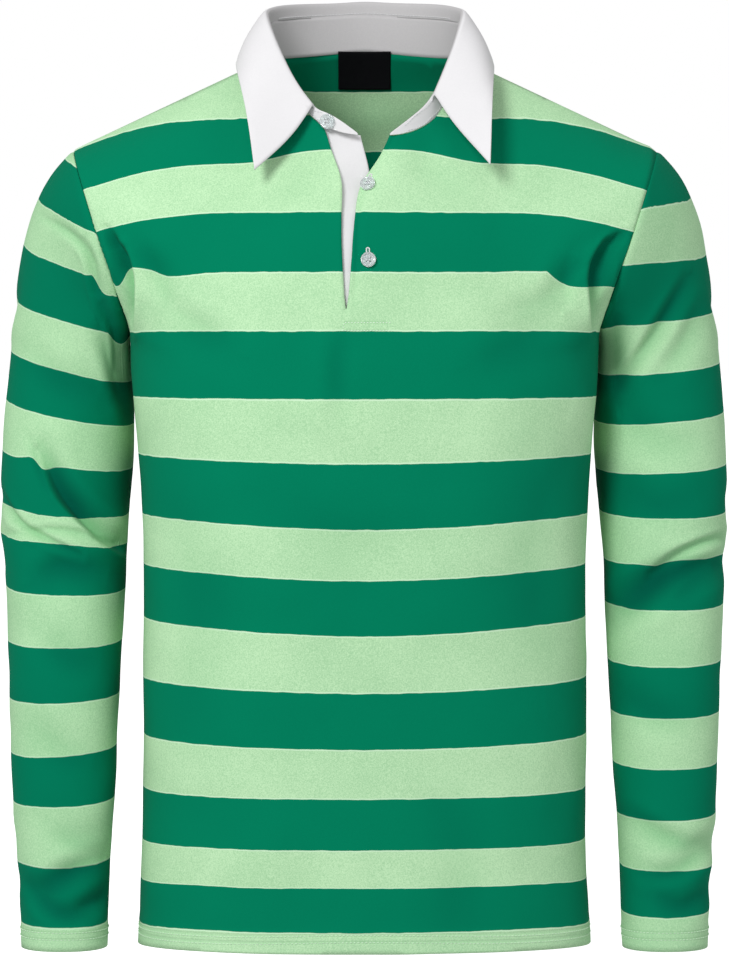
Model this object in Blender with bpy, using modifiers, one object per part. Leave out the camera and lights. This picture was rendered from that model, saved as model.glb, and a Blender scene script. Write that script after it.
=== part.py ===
"""A long-sleeved rugby polo shirt, filled out and hanging as it does when it is worn.

The file works in metres, with +Z up. The wearer faces -Y, and +X is to the viewer's right. The
origin lies between the neck ends of the two shoulder seams, where the wearer carries the shirt.
Sizes and tables are in millimetres and are multiplied by MM where they become points.
"""

import math
from bisect import bisect_right
from collections import namedtuple

import bmesh
import bpy
from mathutils import Vector
from mathutils.bvhtree import BVHTree
from mathutils.kdtree import KDTree

MM = 0.001

# Cloth
JERSEY = 1.6
HEM_FOLD = 2.6
TWILL = 1.4
LABEL = 0.8
SEAM_GAP = 0.3
HEM_DEPTH = 17
VALLEY = 0.75

# Body, from the hem to the armholes
HEM_HEIGHT = -693
HEM_SIDE_HEIGHT = -698
CHEST_LINE = -242
SLIT_FOOT = -202
ROW_LIFT = 3
YOKE_EASE = 2
ARMHOLE_REACH = 3.5
BodyRing = namedtuple("BodyRing", "height half_width side_seam")
BODY_RINGS = (
    BodyRing(-698, 178, -12),
    BodyRing(-600, 175, -13),
    BodyRing(-500, 174, -14),
    BodyRing(-400, 174, -14),
    BodyRing(-350, 175.5, -14),
    BodyRing(-300, 179, -14),
    BodyRing(-250, 183, -13),
    BodyRing(-212, 184, 2),
)
Profile = namedtuple("Profile", "height front back")
PROFILE = (
    Profile(-693, 111, 111),
    Profile(-600, 113, 108),
    Profile(-500, 116, 102),
    Profile(-400, 119, 98),
    Profile(-300, 123, 103),
    Profile(-202, 120, 112),
    Profile(-150, 113, 114),
    Profile(-100, 99, 109),
    Profile(-60, 80, 99),
    Profile(-20, 76, 83),
    Profile(9, 72, 66),
)
SQUARENESS = 2.5
EDGE_TURN = 2.2
BACK_STOP = 169

# Armholes: planar loops from the tip of the shoulder to the armpit
SHOULDER_TIP = (230, 4, -72)
ARMPIT = (184, 2, -212)
ARMHOLE_DEPTH = 70

# Neckline
NECK_WIDTH = 75
NECK_DEPTH = 74
NECK_CENTRE = -8
NECK_FRONT_HEIGHT = -64
NECK_BACK_HEIGHT = 9
NECK_DIP = {-1: 2.5, 1: 5}

# The placket slit, open at its top: its two edges, and how far the buttonhole edge rolls back
SlitRing = namedtuple("SlitRing", "height left_edge right_edge roll")
SLIT = (
    SlitRing(-202, -14, -14, 0),
    SlitRing(-160, -15.3, -11.3, 0.4),
    SlitRing(-125, -15.6, -9.2, 2.5),
    SlitRing(-103, -16, -6.2, 6.5),
    SlitRing(-90, -19, 0, 6.5),
    SlitRing(-78, -25, 10, 3),
    SlitRing(-57, -30, 19.5, 0),
)

ROLL_SWELL = 0.25

# Sleeves, from the armhole to the cuff. Each ring runs from an outer to an inner point.
SleeveRing = namedtuple(
    "SleeveRing", "station outer_x outer_height inner_x inner_height half_depth centre_y"
)
SLEEVE_RINGS = (
    SleeveRing(0, 230, -72, 184, -212, 70, 3),
    SleeveRing(1, 242.5, -84, 186.5, -222, 69, 8),
    SleeveRing(2, 256.5, -104, 185.8, -232, 67, 16),
    SleeveRing(3, 267, -130, 184.5, -246, 64, 24),
    SleeveRing(5, 277, -184, 182.5, -276, 59, 30),
    SleeveRing(7, 283, -240, 183, -312, 56, 29),
    SleeveRing(9, 287.5, -300, 185, -348, 54.5, 22),
    SleeveRing(11, 288.5, -352, 187.5, -384, 53, 14),
    SleeveRing(13, 285, -402, 189.5, -424, 51, 7),
    SleeveRing(16, 282, -486, 193, -494, 46, -4),
    SleeveRing(19, 278, -574, 197.5, -577, 41, -11),
    SleeveRing(22.5, 272.3, -672, 202.3, -672, 36, -18.5),
    SleeveRing(23.2, 271, -700, 204, -700, 35, -20),
)
SLEEVE_ROUNDNESS = 2.2
CUFF_STATION = 23.2
CUFF_FOLD_STATION = 22.75

# The largest folds, as soft ridges and troughs over a panel's front: ends of the line, then the
# half width, and the height, which is negative in a trough
Fold = namedtuple("Fold", "x height end_x end_height half_width rise")
FRONT_FOLDS = (
    Fold(-202, -140, -180, -172, 13, -8),
    Fold(-176, -160, -150, -178, 13, -4),
    Fold(200, -138, 180, -176, 15, -9),
    Fold(176, -182, 180, -240, 13, 3),
    Fold(-160, -190, -105, -222, 18, -2.5),
    Fold(158, -186, 100, -226, 20, -3),
)
SLEEVE_FOLDS = {
    -1: (
        Fold(-252, -318, -196, -378, 15, -5),
        Fold(-282, -352, -236, -384, 14, -5),
        Fold(-250, -404, -215, -408, 14, -4),
        Fold(-262, -128, -218, -178, 14, -3),
    ),
    1: (
        Fold(282, -380, 226, -398, 13, -6),
        Fold(262, -196, 206, -246, 16, -4),
        Fold(240, -404, 196, -420, 14, -5),
    ),
}

# Collar: height of the stand round the neck, then of the fall above it inside the neck
CollarRing = namedtuple("CollarRing", "angle stand inner_fall lean")
COLLAR_RINGS = {
    -1: (
        CollarRing(0, 11.5, 3.5, 0.05),
        CollarRing(24, 11.5, 3.5, 0.05),
        CollarRing(30.5, 8.5, 3.5, 0.05),
        CollarRing(57, 17, 5.5, 0.05),
        CollarRing(75, 21.5, 8.5, 0.05),
        CollarRing(95, 26, 11, 0.05),
        CollarRing(116, 28.5, 12, 0.05),
        CollarRing(133, 29.5, 12.5, 0.07),
        CollarRing(180, 27.5, 12, 0.1),
    ),
    1: (
        CollarRing(0, 12, 3.5, 0.05),
        CollarRing(26, 13, 3.5, 0.05),
        CollarRing(43.5, 17, 4.5, 0.05),
        CollarRing(57, 26, 6.5, 0.05),
        CollarRing(75, 26, 8.5, 0.05),
        CollarRing(95, 26, 11, 0.05),
        CollarRing(116, 28.5, 12, 0.05),
        CollarRing(133, 29.5, 12.5, 0.07),
        CollarRing(180, 27.5, 12, 0.1),
    ),
}
ROLL_RADIUS = 3.2
STAND_LEFT_END = -5
STAND_END_TAPER = 24
EDGE_STOP = {-1: (), 1: (26,)}
LEAF_START = {-1: 30.5, 1: 43.5}
Leaf = namedtuple("Leaf", "share x y height")
LEAF_EDGE = {
    -1: (
        Leaf(0, 84, -104, -91),
        Leaf(0.13, 90, -86, -50),
        Leaf(0.27, 98, -50, -18),
        Leaf(0.41, 101, -10, -3),
        Leaf(0.6, 88, 42, 2),
        Leaf(0.8, 50, 72, 0),
        Leaf(1, 0, 84, -2),
    ),
    1: (
        Leaf(0, 96, -104, -87),
        Leaf(0.12, 98, -84, -50),
        Leaf(0.24, 100, -52, -20),
        Leaf(0.38, 102, -10, -4),
        Leaf(0.6, 88, 42, 2),
        Leaf(0.8, 50, 72, 0),
        Leaf(1, 0, 84, -2),
    ),
}
LEAF_SWEEP = {-1: 7, 1: 6}
LEAF_BOW = 3.0
LEAF_CLEARANCE = 2.6

# The under-placket, a straight strip of twill behind the slit
PlacketRing = namedtuple("PlacketRing", "height left_edge right_edge")
UNDER_PLACKET = (
    PlacketRing(-222, -24, 16),
    PlacketRing(-160, -26, 12),
    PlacketRing(-110, -27, 7),
    PlacketRing(-84, -33, 3),
    PlacketRing(-62, -38, -3),
)
PLACKET_DEPTH = 2.5
PLACKET_SINK = 1.4
PLACKET_ROWS = 14

# Buttons, on the buttonhole edge and on the left end of the stand
BUTTON_RADIUS = 5.8
BUTTON_THICKNESS = 2.6
BUTTON_RIM = 1.2
BUTTON_DISH = 0.8
FRONT_BUTTONS = ((2.8, -102), (2.8, -160))

# Care label, hanging from the back neck seam
LABEL_WIDTH = 42
LABEL_DROP = 31
LABEL_TOP = 5.8
LABEL_STANDOFF = 4

# Mesh counts
BODY_ROWS = 20
ROWS_BELOW_SLIT = 2
ARMHOLE_ROWS = 12
HALF_COLUMNS = 13
NECK_COLUMNS = 6
SLEEVE_ROWS = 26
LEAF_ROWS = 5


def at(table, key):
    """A row of a table at this value of its first column, on a smooth curve through its rows."""
    rows = sorted(table)
    keys = [row[0] for row in rows]
    key = min(max(key, keys[0]), keys[-1])
    left = min(bisect_right(keys, key), len(rows) - 1) - 1
    span = keys[left + 1] - keys[left]
    t = (key - keys[left]) / span

    def slope(i, column):
        low, high = max(i - 1, 0), min(i + 1, len(rows) - 1)
        return (rows[high][column] - rows[low][column]) / (keys[high] - keys[low])

    values = [key]
    for column in range(1, len(rows[0])):
        start, end = rows[left][column], rows[left + 1][column]
        out, into = span * slope(left, column), span * slope(left + 1, column)
        values.append(
            (2 * t**3 - 3 * t**2 + 1) * start
            + (t**3 - 2 * t**2 + t) * out
            + (3 * t**2 - 2 * t**3) * end
            + (t**3 - t**2) * into
        )
    return type(rows[0])(*values)


def mix(a, b, t):
    return a + (b - a) * t


def neck_point(angle):
    """A point of the neck seam. 0 degrees is the front and 180 the back; negative is the left."""
    side = math.sin(math.radians(angle))
    ahead = math.cos(math.radians(angle))
    if ahead > 0:
        height = NECK_FRONT_HEIGHT * (1 - abs(side) ** NECK_DIP[-1 if side < 0 else 1])
    else:
        height = NECK_BACK_HEIGHT * (1 - abs(side))
    return Vector((NECK_WIDTH * side, NECK_CENTRE - NECK_DEPTH * ahead, height))


def neck_angle(x):
    """The angle of the front neck seam at this distance from the middle."""
    return math.degrees(math.asin(x / NECK_WIDTH))


def neck_angles(start, stops, end):
    """Angles of a panel's neck points: some fixed stops, and an even spread from the last on."""
    steps = NECK_COLUMNS - len(stops)
    return [start, *stops] + [mix(stops[-1], end, (i + 1) / steps) for i in range(steps)]


def front_neck_angles(side):
    slit_top = SLIT[-1].left_edge if side < 0 else SLIT[-1].right_edge
    stops = [side * angle for angle in (*EDGE_STOP[side], LEAF_START[side])]
    return neck_angles(neck_angle(slit_top), stops, 90 * side)


def back_neck_angles(side):
    return neck_angles(180 * side, [side * BACK_STOP], 90 * side)


def armhole_point(side, angle, facing):
    """A point of an armhole seam. 0 degrees is the shoulder tip and 180 the armpit."""
    tip = Vector((side * SHOULDER_TIP[0], *SHOULDER_TIP[1:]))
    pit = Vector((side * ARMPIT[0], *ARMPIT[1:]))
    point = (tip + pit) / 2 + (tip - pit) / 2 * math.cos(math.radians(angle))
    point.y += facing * ARMHOLE_DEPTH * math.sin(math.radians(angle))
    return point


def row_across(inner, outer):
    """Points from the middle of a panel out to its side, on a squarish quarter of an ellipse.

    The row climbs to its outer end, so that it leaves the armpit midway between the two seams.
    """
    power = 2 / SQUARENESS
    points = [inner.copy()]
    for i in range(HALF_COLUMNS):
        part = math.radians(mix(EDGE_TURN, 90, i / (HALF_COLUMNS - 1)))
        point = inner.lerp(outer, math.sin(part) ** power)
        point.y = mix(outer.y, inner.y, max(math.cos(part), 0) ** power)
        point.z = mix(inner.z, outer.z, ((i + 1) / HALF_COLUMNS) ** ROW_LIFT)
        points.append(point)
    return points


def folded(points, folds):
    """Moves a panel's points in or out along Y where a fold passes, but not its outer seam."""
    for row in points:
        for point in row[:-1]:
            for fold in folds:
                start = Vector((fold.x, fold.height))
                along = Vector((fold.end_x, fold.end_height)) - start
                place = Vector((point.x, point.z)) - start
                t = min(max(place.dot(along) / along.length_squared, 0), 1)
                distance = (place - along * t).length / fold.half_width
                strength = math.exp(-(distance**2)) * math.sin(math.pi * (0.15 + 0.7 * t))
                point.y -= fold.rise * strength
    return points


def body_rows(side, facing, inner_edge, upper_heights, neck):
    """Half a body panel, row by row up from the hem. facing is -1 at the front, 1 at the back.

    Up to the armpit each row goes round the body. Above it the rows blend that shape into the
    neckline and the shoulder seam, between the middle of the panel and the armhole.
    """
    rows = []
    fold = HEM_DEPTH / (CHEST_LINE - HEM_HEIGHT)
    for t in (0, *(mix(fold, 1, i / (BODY_ROWS - 1)) for i in range(BODY_ROWS))):
        ring = at(BODY_RINGS, mix(HEM_SIDE_HEIGHT, ARMPIT[2], t))
        outer = Vector((side * ring.half_width, ring.side_seam, ring.height))
        rows.append(row_across(inner_edge(mix(HEM_HEIGHT, CHEST_LINE, t)), outer))
    foot = rows.pop()
    shoulder_columns = HALF_COLUMNS - NECK_COLUMNS
    top = [neck_point(angle) for angle in neck[:-1]]
    neck_end, tip = neck_point(90 * side), armhole_point(side, 0, facing)
    top += [neck_end.lerp(tip, j / shoulder_columns) for j in range(shoulder_columns + 1)]
    for i, height in enumerate(upper_heights):
        v = i / ARMHOLE_ROWS
        inner = inner_edge(height)
        outer = armhole_point(side, 180 * (1 - v), facing)
        blend = [start.lerp(end, v**YOKE_EASE) for start, end in zip(foot, top)]
        row = []
        for j, point in enumerate(blend):
            u = j / HALF_COLUMNS
            to_middle = (inner - blend[0]) * (1 - u)
            to_armhole = (outer - blend[-1]) * u ** mix(ARMHOLE_REACH, 1, v)
            row.append(point + to_middle + to_armhole)
        rows.append(row)
    return rows


def front_half(side):
    """The front on one side of the slit. Below the slit's foot both halves share one column."""
    neck = front_neck_angles(side)
    start = neck[0]

    def inner_edge(height):
        depth = at(PROFILE, height).front
        if height <= SLIT_FOOT:
            return Vector((SLIT[0].left_edge, -depth, height))
        t = (height - SLIT_FOOT) / (neck_point(start).z - SLIT_FOOT)
        ring = at(SLIT, mix(SLIT_FOOT, SLIT[-1].height, t))
        edge = ring.left_edge if side < 0 else ring.right_edge
        return Vector((edge, -mix(depth, -neck_point(start).y, t**4), height))

    slit_rows = ARMHOLE_ROWS - ROWS_BELOW_SLIT
    heights = [mix(CHEST_LINE, SLIT_FOOT, i / ROWS_BELOW_SLIT) for i in range(ROWS_BELOW_SLIT)]
    heights += [mix(SLIT_FOOT, neck_point(start).z, i / slit_rows) for i in range(slit_rows + 1)]
    rows = body_rows(side, -1, inner_edge, heights, neck)
    if side > 0:
        for row in rows[BODY_ROWS + ROWS_BELOW_SLIT + 1 :]:
            roll = at(SLIT, row[0].z).roll
            row[0].y += roll
            row[1].y -= roll * ROLL_SWELL
    return folded(rows, [fold for fold in FRONT_FOLDS if fold.x * side > 0])


def back_half(side):
    """The back on one side of its middle."""

    def inner_edge(height):
        return Vector((0, at(PROFILE, height).back, height))

    steps = range(ARMHOLE_ROWS + 1)
    heights = [mix(CHEST_LINE, NECK_BACK_HEIGHT, i / ARMHOLE_ROWS) for i in steps]
    return body_rows(side, 1, inner_edge, heights, back_neck_angles(side))


def sleeve_rows(side):
    """A sleeve, ring by ring from its armhole to its cuff."""
    rows = []
    power = 2 / SLEEVE_ROUNDNESS
    stations = [CUFF_FOLD_STATION * i / (SLEEVE_ROWS - 1) for i in range(SLEEVE_ROWS)]
    for i, station in enumerate([*stations, CUFF_STATION]):
        ring = at(SLEEVE_RINGS, station)
        outer = Vector((side * ring.outer_x, ring.centre_y, ring.outer_height))
        inner = Vector((side * ring.inner_x, ring.centre_y, ring.inner_height))
        ease = min(i / 6, 1)
        row = []
        for j in range(2 * ARMHOLE_ROWS):
            angle = math.pi * j / ARMHOLE_ROWS
            if i == 0:
                facing = -1 if j <= ARMHOLE_ROWS else 1
                degrees = 180 * j / ARMHOLE_ROWS
                row.append(armhole_point(side, min(degrees, 360 - degrees), facing))
                continue
            rounded = [
                math.copysign(abs(f(angle)) ** mix(1, power, ease), f(angle))
                for f in (math.cos, math.sin)
            ]
            point = (outer + inner) / 2 + (outer - inner) / 2 * rounded[0]
            point.y -= ring.half_depth * rounded[1]
            row.append(point)
        rows.append(row)
    front = [[point for point in row if point.y < 0] for row in rows[1:]]
    folded(front, SLEEVE_FOLDS[side])
    return rows


def sheet(rows, name_of, closed=False):
    """Adds a grid of points to a bmesh-like store and returns its points and faces."""
    points, faces = {}, []
    for i, row in enumerate(rows):
        for j, point in enumerate(row):
            points[name_of(i, j)] = point
    wide = len(rows[0])
    for i in range(len(rows) - 1):
        for j in range(wide if closed else wide - 1):
            k = (j + 1) % wide
            faces.append((name_of(i, j), name_of(i, k), name_of(i + 1, k), name_of(i + 1, j)))
    return points, faces


def panel(grids):
    """One open piece of cloth from its grids: bmesh faces that share the points of equal name."""
    cloth = bmesh.new()
    made = {}
    for points, faces, flipped in grids:
        for name, point in points.items():
            if name not in made:
                made[name] = cloth.verts.new(point * MM)
        for face in faces:
            corners = [made[name] for name in face]
            cloth.faces.new(reversed(corners) if flipped else corners)
    cloth.normal_update()
    return cloth


def front_panel():
    slit_foot = BODY_ROWS + ROWS_BELOW_SLIT

    def name_for(side):
        return lambda i, j: (i, 0, 0) if j == 0 and i <= slit_foot else (i, j, side)

    return panel(
        [(*sheet(front_half(side), name_for(side)), side < 0) for side in (-1, 1)]
    )


def back_panel():
    def name_for(side):
        return lambda i, j: (i, 0, 0) if j == 0 else (i, j, side)

    return panel(
        [(*sheet(back_half(side), name_for(side)), side > 0) for side in (-1, 1)]
    )


def sleeve_panel(side):
    points, faces = sheet(sleeve_rows(side), lambda i, j: (i, j), closed=True)
    return panel([(points, faces, side < 0)])


class Skin:
    """Panels that meet at their seams. It gives the normals that they share there."""

    def __init__(self, panels):
        whole = bmesh.new()
        for cloth in panels:
            made = {v: whole.verts.new(v.co) for v in cloth.verts}
            for face in cloth.faces:
                whole.faces.new([made[v] for v in face.verts])
        bmesh.ops.remove_doubles(whole, verts=whole.verts, dist=0.01 * MM)
        whole.normal_update()
        whole.verts.ensure_lookup_table()
        self.directions = [v.normal * min(v.calc_shell_factor(), 1.6) for v in whole.verts]
        self.places = KDTree(len(whole.verts))
        for i, v in enumerate(whole.verts):
            self.places.insert(v.co, i)
        self.places.balance()
        self.surface = BVHTree.FromBMesh(whole)
        whole.free()

    def direction(self, point):
        return self.directions[self.places.find(point)[1]]

    def lifted(self, point, clearance):
        """The point in millimetres, moved out of the skin until it is that clear of it."""
        place, normal, _, _ = self.surface.find_nearest(point * MM)
        height = (point * MM - place).dot(normal)
        lacking = clearance * MM - height
        return point + normal * max(lacking, 0) / MM

    def highest_around(self, centre, normal, radius):
        """How far the skin rises over the plane through centre, in a circle of that radius."""
        across = normal.orthogonal().normalized()
        upward = normal.cross(across)
        rises = []
        for i in range(24):
            turn = 2 * math.pi * i / 24
            rim = centre + (across * math.cos(turn) + upward * math.sin(turn)) * radius
            rises.append((self.surface.find_nearest(rim * MM)[0] / MM - centre).dot(normal))
        return max(*rises, 0)

    def front_depth(self, x, height):
        """Y of the front at this place, in millimetres."""
        origin = Vector((x, -400, height)) * MM
        return self.surface.ray_cast(origin, Vector((0, 1, 0)))[0].y / MM

    def back_depth(self, x, height):
        """Y of the back at this place, in millimetres."""
        origin = Vector((x, 400, height)) * MM
        return self.surface.ray_cast(origin, Vector((0, -1, 0)))[0].y / MM


def shared_direction(whole, own):
    """Outward at a point: as the pieces share it, or a piece's own where they meet in a valley."""

    def direction(point):
        shared, alone = whole.direction(point), own.direction(point)
        return shared if shared.normalized().dot(alone.normalized()) > VALLEY else alone

    return direction


def make_wall(name, cloth, direction, thickness, material):
    """Gives a panel its seam gaps and its thickness, and makes it an object.

    direction and thickness take a point: the way out of the cloth there, and how thick it is.
    """
    outward = {v: direction(v.co).copy() for v in cloth.verts}
    moves = {}
    for v in cloth.verts:
        if v.is_boundary:
            inward = sum((f.calc_center_median() - v.co for f in v.link_faces), Vector())
            ends = [e.other_vert(v).co for e in v.link_edges if e.is_boundary]
            along = (ends[0] - ends[-1]).normalized()
            normal = outward[v].normalized()
            inward -= normal * inward.dot(normal)
            if len(v.link_faces) > 1:
                inward -= along * inward.dot(along)
            moves[v] = inward.normalized() * SEAM_GAP / 2 * MM
    for v, move in moves.items():
        v.co += move
    bmesh.ops.triangulate(cloth, faces=cloth.faces, quad_method="SHORT_EDGE")
    lining = {}
    for v in list(cloth.verts):
        lining[v] = cloth.verts.new(v.co - outward[v] * thickness(v.co / MM) * MM)
    faces = list(cloth.faces)
    rims = [
        (e.link_loops[0].vert, e.link_loops[0].link_loop_next.vert)
        for e in cloth.edges
        if e.is_boundary
    ]
    for face in faces:
        cloth.faces.new([lining[v] for v in reversed(face.verts)])
    for start, end in rims:
        cloth.faces.new((end, start, lining[start], lining[end]))
    return make_object(name, cloth, material)


def make_object(name, shape, material):
    mesh = bpy.data.meshes.new(name)
    shape.to_mesh(mesh)
    shape.free()
    mesh.materials.append(material)
    mesh.shade_smooth()
    mesh.set_sharp_from_angle(angle=math.radians(40))
    piece = bpy.data.objects.new(name, mesh)
    parts.objects.link(piece)
    return piece


def make_material(name, colour, roughness):
    material = bpy.data.materials.new(name)
    material.use_nodes = True
    shader = material.node_tree.nodes["Principled BSDF"]
    shader.inputs["Base Color"].default_value = (*colour, 1)
    shader.inputs["Roughness"].default_value = roughness
    material.diffuse_color = (*colour, 1)
    return material


def jersey_thickness(point):
    """Jersey, and its double fold at the hem and the cuffs."""
    return HEM_FOLD if point.z < HEM_HEIGHT + HEM_DEPTH + 1 else JERSEY


def collar_angles():
    """Angles of the collar's columns: those of the body's neckline, and the stand's left end."""
    end = neck_angle(STAND_LEFT_END)
    left = front_neck_angles(-1)
    angles = [mix(end, left[0], i / 3) for i in range(3)] + left
    angles += back_neck_angles(-1)[-2::-1]
    angles += [angle - 360 for angle in back_neck_angles(1)[1:]]
    return angles + [angle - 360 for angle in front_neck_angles(1)[-2::-1]]


def collar_column(angle, skin):
    """The collar's section at an angle round the neck, from the neck seam to the leaf's edge."""
    place = angle if angle > -180 else angle + 360
    side = -1 if place < 0 else 1
    around = abs(place)
    ring = at(COLLAR_RINGS[side], around)
    outward = Vector((math.sin(math.radians(place)), -math.cos(math.radians(place)), 0))
    upward = (Vector((0, 0, 1)) + outward * ring.lean).normalized()
    base = neck_point(place) - outward * TWILL + upward * SEAM_GAP
    ends = (neck_angle(STAND_LEFT_END), neck_angle(SLIT[-1].right_edge))
    to_end = math.radians(place - ends[0] if side > 0 else ends[0] - place) * NECK_WIDTH
    if side > 0:
        to_end = math.radians(place - ends[1]) * NECK_WIDTH
    taper = min(max(to_end / STAND_END_TAPER, 0), 1)
    stand = ring.stand * (0.12 + 0.88 * math.sin(math.pi / 2 * taper))
    column = [base + upward * stand * t for t in (0, 0.5, 1)]
    if around < LEAF_START[side] - 0.1:
        return column
    shoulder = base + upward * (stand + ring.inner_fall - ROLL_RADIUS)
    centre = shoulder + outward * ROLL_RADIUS
    for degrees in (10, 55, 100, 145):
        turn = math.radians(degrees)
        column.append(
            centre + (upward * math.sin(turn) - outward * math.cos(turn)) * ROLL_RADIUS
        )
    share = (around - LEAF_START[side]) / (180 - LEAF_START[side])
    edge = at(LEAF_EDGE[side], share)
    tip = Vector((side * edge.x, edge.y, edge.height))
    start = column[-1]
    for i in range(1, LEAF_ROWS + 1):
        t = i / LEAF_ROWS
        point = start.lerp(tip, t)
        point += outward * LEAF_BOW * math.sin(math.pi * t)
        point.z -= LEAF_SWEEP[side] * math.sin(math.pi * t**0.7) * max(1 - share / 0.2, 0)
        column.append(skin.lifted(point, LEAF_CLEARANCE))
    return column


def make_collar(skin, material):
    """The stand and the fall, which meet at a seam inside the neck."""
    columns = [collar_column(angle, skin) for angle in collar_angles()]
    starts = [i for i, column in enumerate(columns) if len(column) > 3]
    falls = columns[starts[0] : starts[-1] + 1]
    stand = panel([(*sheet([c[:3] for c in columns], lambda i, j: (i, j)), True)])
    fall = panel([(*sheet([c[2:] for c in falls], lambda i, j: (i, j)), True)])
    collar = Skin([stand, fall])
    make_wall("collar_stand", stand, collar.direction, lambda point: TWILL, material)
    make_wall("collar_fall", fall, collar.direction, lambda point: TWILL, material)


def make_under_placket(skin, material):
    """The strip that carries the buttons, just behind the front and below the stand."""
    rows = []
    for i in range(PLACKET_ROWS + 1):
        level = i / PLACKET_ROWS
        ring = at(UNDER_PLACKET, mix(UNDER_PLACKET[0].height, UNDER_PLACKET[-1].height, level))
        slit = at(SLIT, ring.height)
        row = []
        for t in (0, 0.22, 0.44, 0.7, 1):
            x = mix(ring.left_edge, ring.right_edge, t)
            top = neck_point(neck_angle(x)).z - 3 * SEAM_GAP
            height = mix(UNDER_PLACKET[0].height, top, level)
            seen = min(x, slit.left_edge - 2)
            across = (x - seen) / (slit.right_edge - seen) if x > seen else 0
            roll = slit.roll * 1.2 * min(max(across, 0), 1)
            depth = skin.front_depth(seen, min(height, top - 2)) + roll
            if x > slit.right_edge + 1:
                depth = max(depth, skin.front_depth(x, height))
            depth += PLACKET_DEPTH + PLACKET_SINK * level**2
            row.append(Vector((x, depth, height)))
        rows.append(row)
    strip = panel([(*sheet(rows, lambda i, j: (i, j)), False)])
    own = Skin([strip])
    make_wall("under_placket", strip, own.direction, lambda point: TWILL, material)


def make_label(skin, material):
    """The label inside the back neck, held by the neck seam."""
    rows = []
    for i in range(4):
        height = LABEL_TOP - LABEL_DROP * i / 3
        row = []
        for t in (-0.5, -0.25, 0, 0.25, 0.5):
            x = LABEL_WIDTH * t
            depth = skin.back_depth(x, height) - LABEL_STANDOFF
            row.append(Vector((x, depth, height)))
        rows.append(row)
    cloth = panel([(*sheet(rows, lambda i, j: (i, j)), True)])
    own = Skin([cloth])
    make_wall("neck_label", cloth, own.direction, lambda point: LABEL, material)


def make_button(name, place, facing, material):
    """A turned button with a raised rim. Its back rests at place and it faces that way."""
    profile = (
        (0, BUTTON_THICKNESS - BUTTON_DISH),
        (BUTTON_RADIUS - 2 * BUTTON_RIM, BUTTON_THICKNESS - BUTTON_DISH),
        (BUTTON_RADIUS - BUTTON_RIM, BUTTON_THICKNESS),
        (BUTTON_RADIUS - 0.3 * BUTTON_RIM, BUTTON_THICKNESS * 0.9),
        (BUTTON_RADIUS, BUTTON_THICKNESS * 0.55),
        (BUTTON_RADIUS - 0.8 * BUTTON_RIM, 0),
        (0, 0),
    )
    shape = bmesh.new()
    points = [shape.verts.new((r * MM, 0, z * MM)) for r, z in profile]
    for start, end in zip(points, points[1:]):
        shape.edges.new((start, end))
    button = make_object(name, shape, material)
    turned = button.modifiers.new("turned", "SCREW")
    turned.steps = turned.render_steps = 20
    turned.use_merge_vertices = True
    turned.merge_threshold = 0.00001
    button.location = place * MM
    button.rotation_mode = "QUATERNION"
    button.rotation_quaternion = facing.to_track_quat("Z", "Y")
    return button


def make_buttons(skin, material):
    for number, (x, height) in enumerate(FRONT_BUTTONS, start=1):
        origin = Vector((x, -400, height)) * MM
        place, normal, _, _ = skin.surface.ray_cast(origin, Vector((0, 1, 0)))
        rest = skin.highest_around(place / MM, normal, BUTTON_RADIUS) + SEAM_GAP
        make_button(f"button_{number}", place / MM + normal * rest, normal, material)
    angle = neck_angle(-28)
    outward = Vector((math.sin(math.radians(angle)), -math.cos(math.radians(angle)), 0))
    place = neck_point(angle) + Vector((0, 0, 5.5)) + outward * 2 * SEAM_GAP
    make_button("button_neck", place, outward, material)


for old in list(bpy.data.objects):
    bpy.data.objects.remove(old)
parts = bpy.data.collections.new("rugby_polo_shirt")
bpy.context.scene.collection.children.link(parts)

jersey_green = make_material("jersey_green", (0.0, 0.2, 0.11), 0.9)
jersey_mint = make_material("jersey_mint", (0.46, 0.76, 0.45), 0.9)
white_twill = make_material("white_twill", (0.88, 0.87, 0.9), 0.85)
button_plastic = make_material("button_plastic", (0.82, 0.86, 0.87), 0.2)
label_black = make_material("label_black", (0.01, 0.01, 0.012), 0.7)

cloths = {
    "front": front_panel(),
    "back": back_panel(),
    "sleeve_left": sleeve_panel(-1),
    "sleeve_right": sleeve_panel(1),
}
skin = Skin(cloths.values())
body = Skin([cloths["front"], cloths["back"]])
sleeves = Skin([cloths["sleeve_left"], cloths["sleeve_right"]])
for name, cloth in cloths.items():
    own = body if name in ("front", "back") else sleeves
    make_wall(name, cloth, shared_direction(skin, own), jersey_thickness, jersey_green)
make_collar(skin, white_twill)
make_under_placket(skin, white_twill)
make_label(skin, label_black)
make_buttons(skin, button_plastic)
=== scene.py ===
import math
from collections import namedtuple

import bmesh
import bpy
import numpy as np
from mathutils import Matrix, Vector, noise
from mathutils.bvhtree import BVHTree
from mathutils.kdtree import KDTree


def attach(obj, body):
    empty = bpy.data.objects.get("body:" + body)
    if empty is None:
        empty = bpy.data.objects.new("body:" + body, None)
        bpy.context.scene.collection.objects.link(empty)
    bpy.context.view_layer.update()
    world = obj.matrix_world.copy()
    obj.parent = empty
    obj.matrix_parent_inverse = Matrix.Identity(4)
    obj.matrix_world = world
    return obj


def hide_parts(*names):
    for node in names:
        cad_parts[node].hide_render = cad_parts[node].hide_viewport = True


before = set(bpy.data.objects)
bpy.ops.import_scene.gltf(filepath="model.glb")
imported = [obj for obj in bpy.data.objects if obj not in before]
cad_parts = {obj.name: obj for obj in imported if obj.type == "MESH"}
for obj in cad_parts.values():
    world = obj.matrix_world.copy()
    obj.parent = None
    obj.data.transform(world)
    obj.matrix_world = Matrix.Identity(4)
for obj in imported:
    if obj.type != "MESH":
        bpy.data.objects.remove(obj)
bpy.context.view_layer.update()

MM = 0.001


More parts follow.
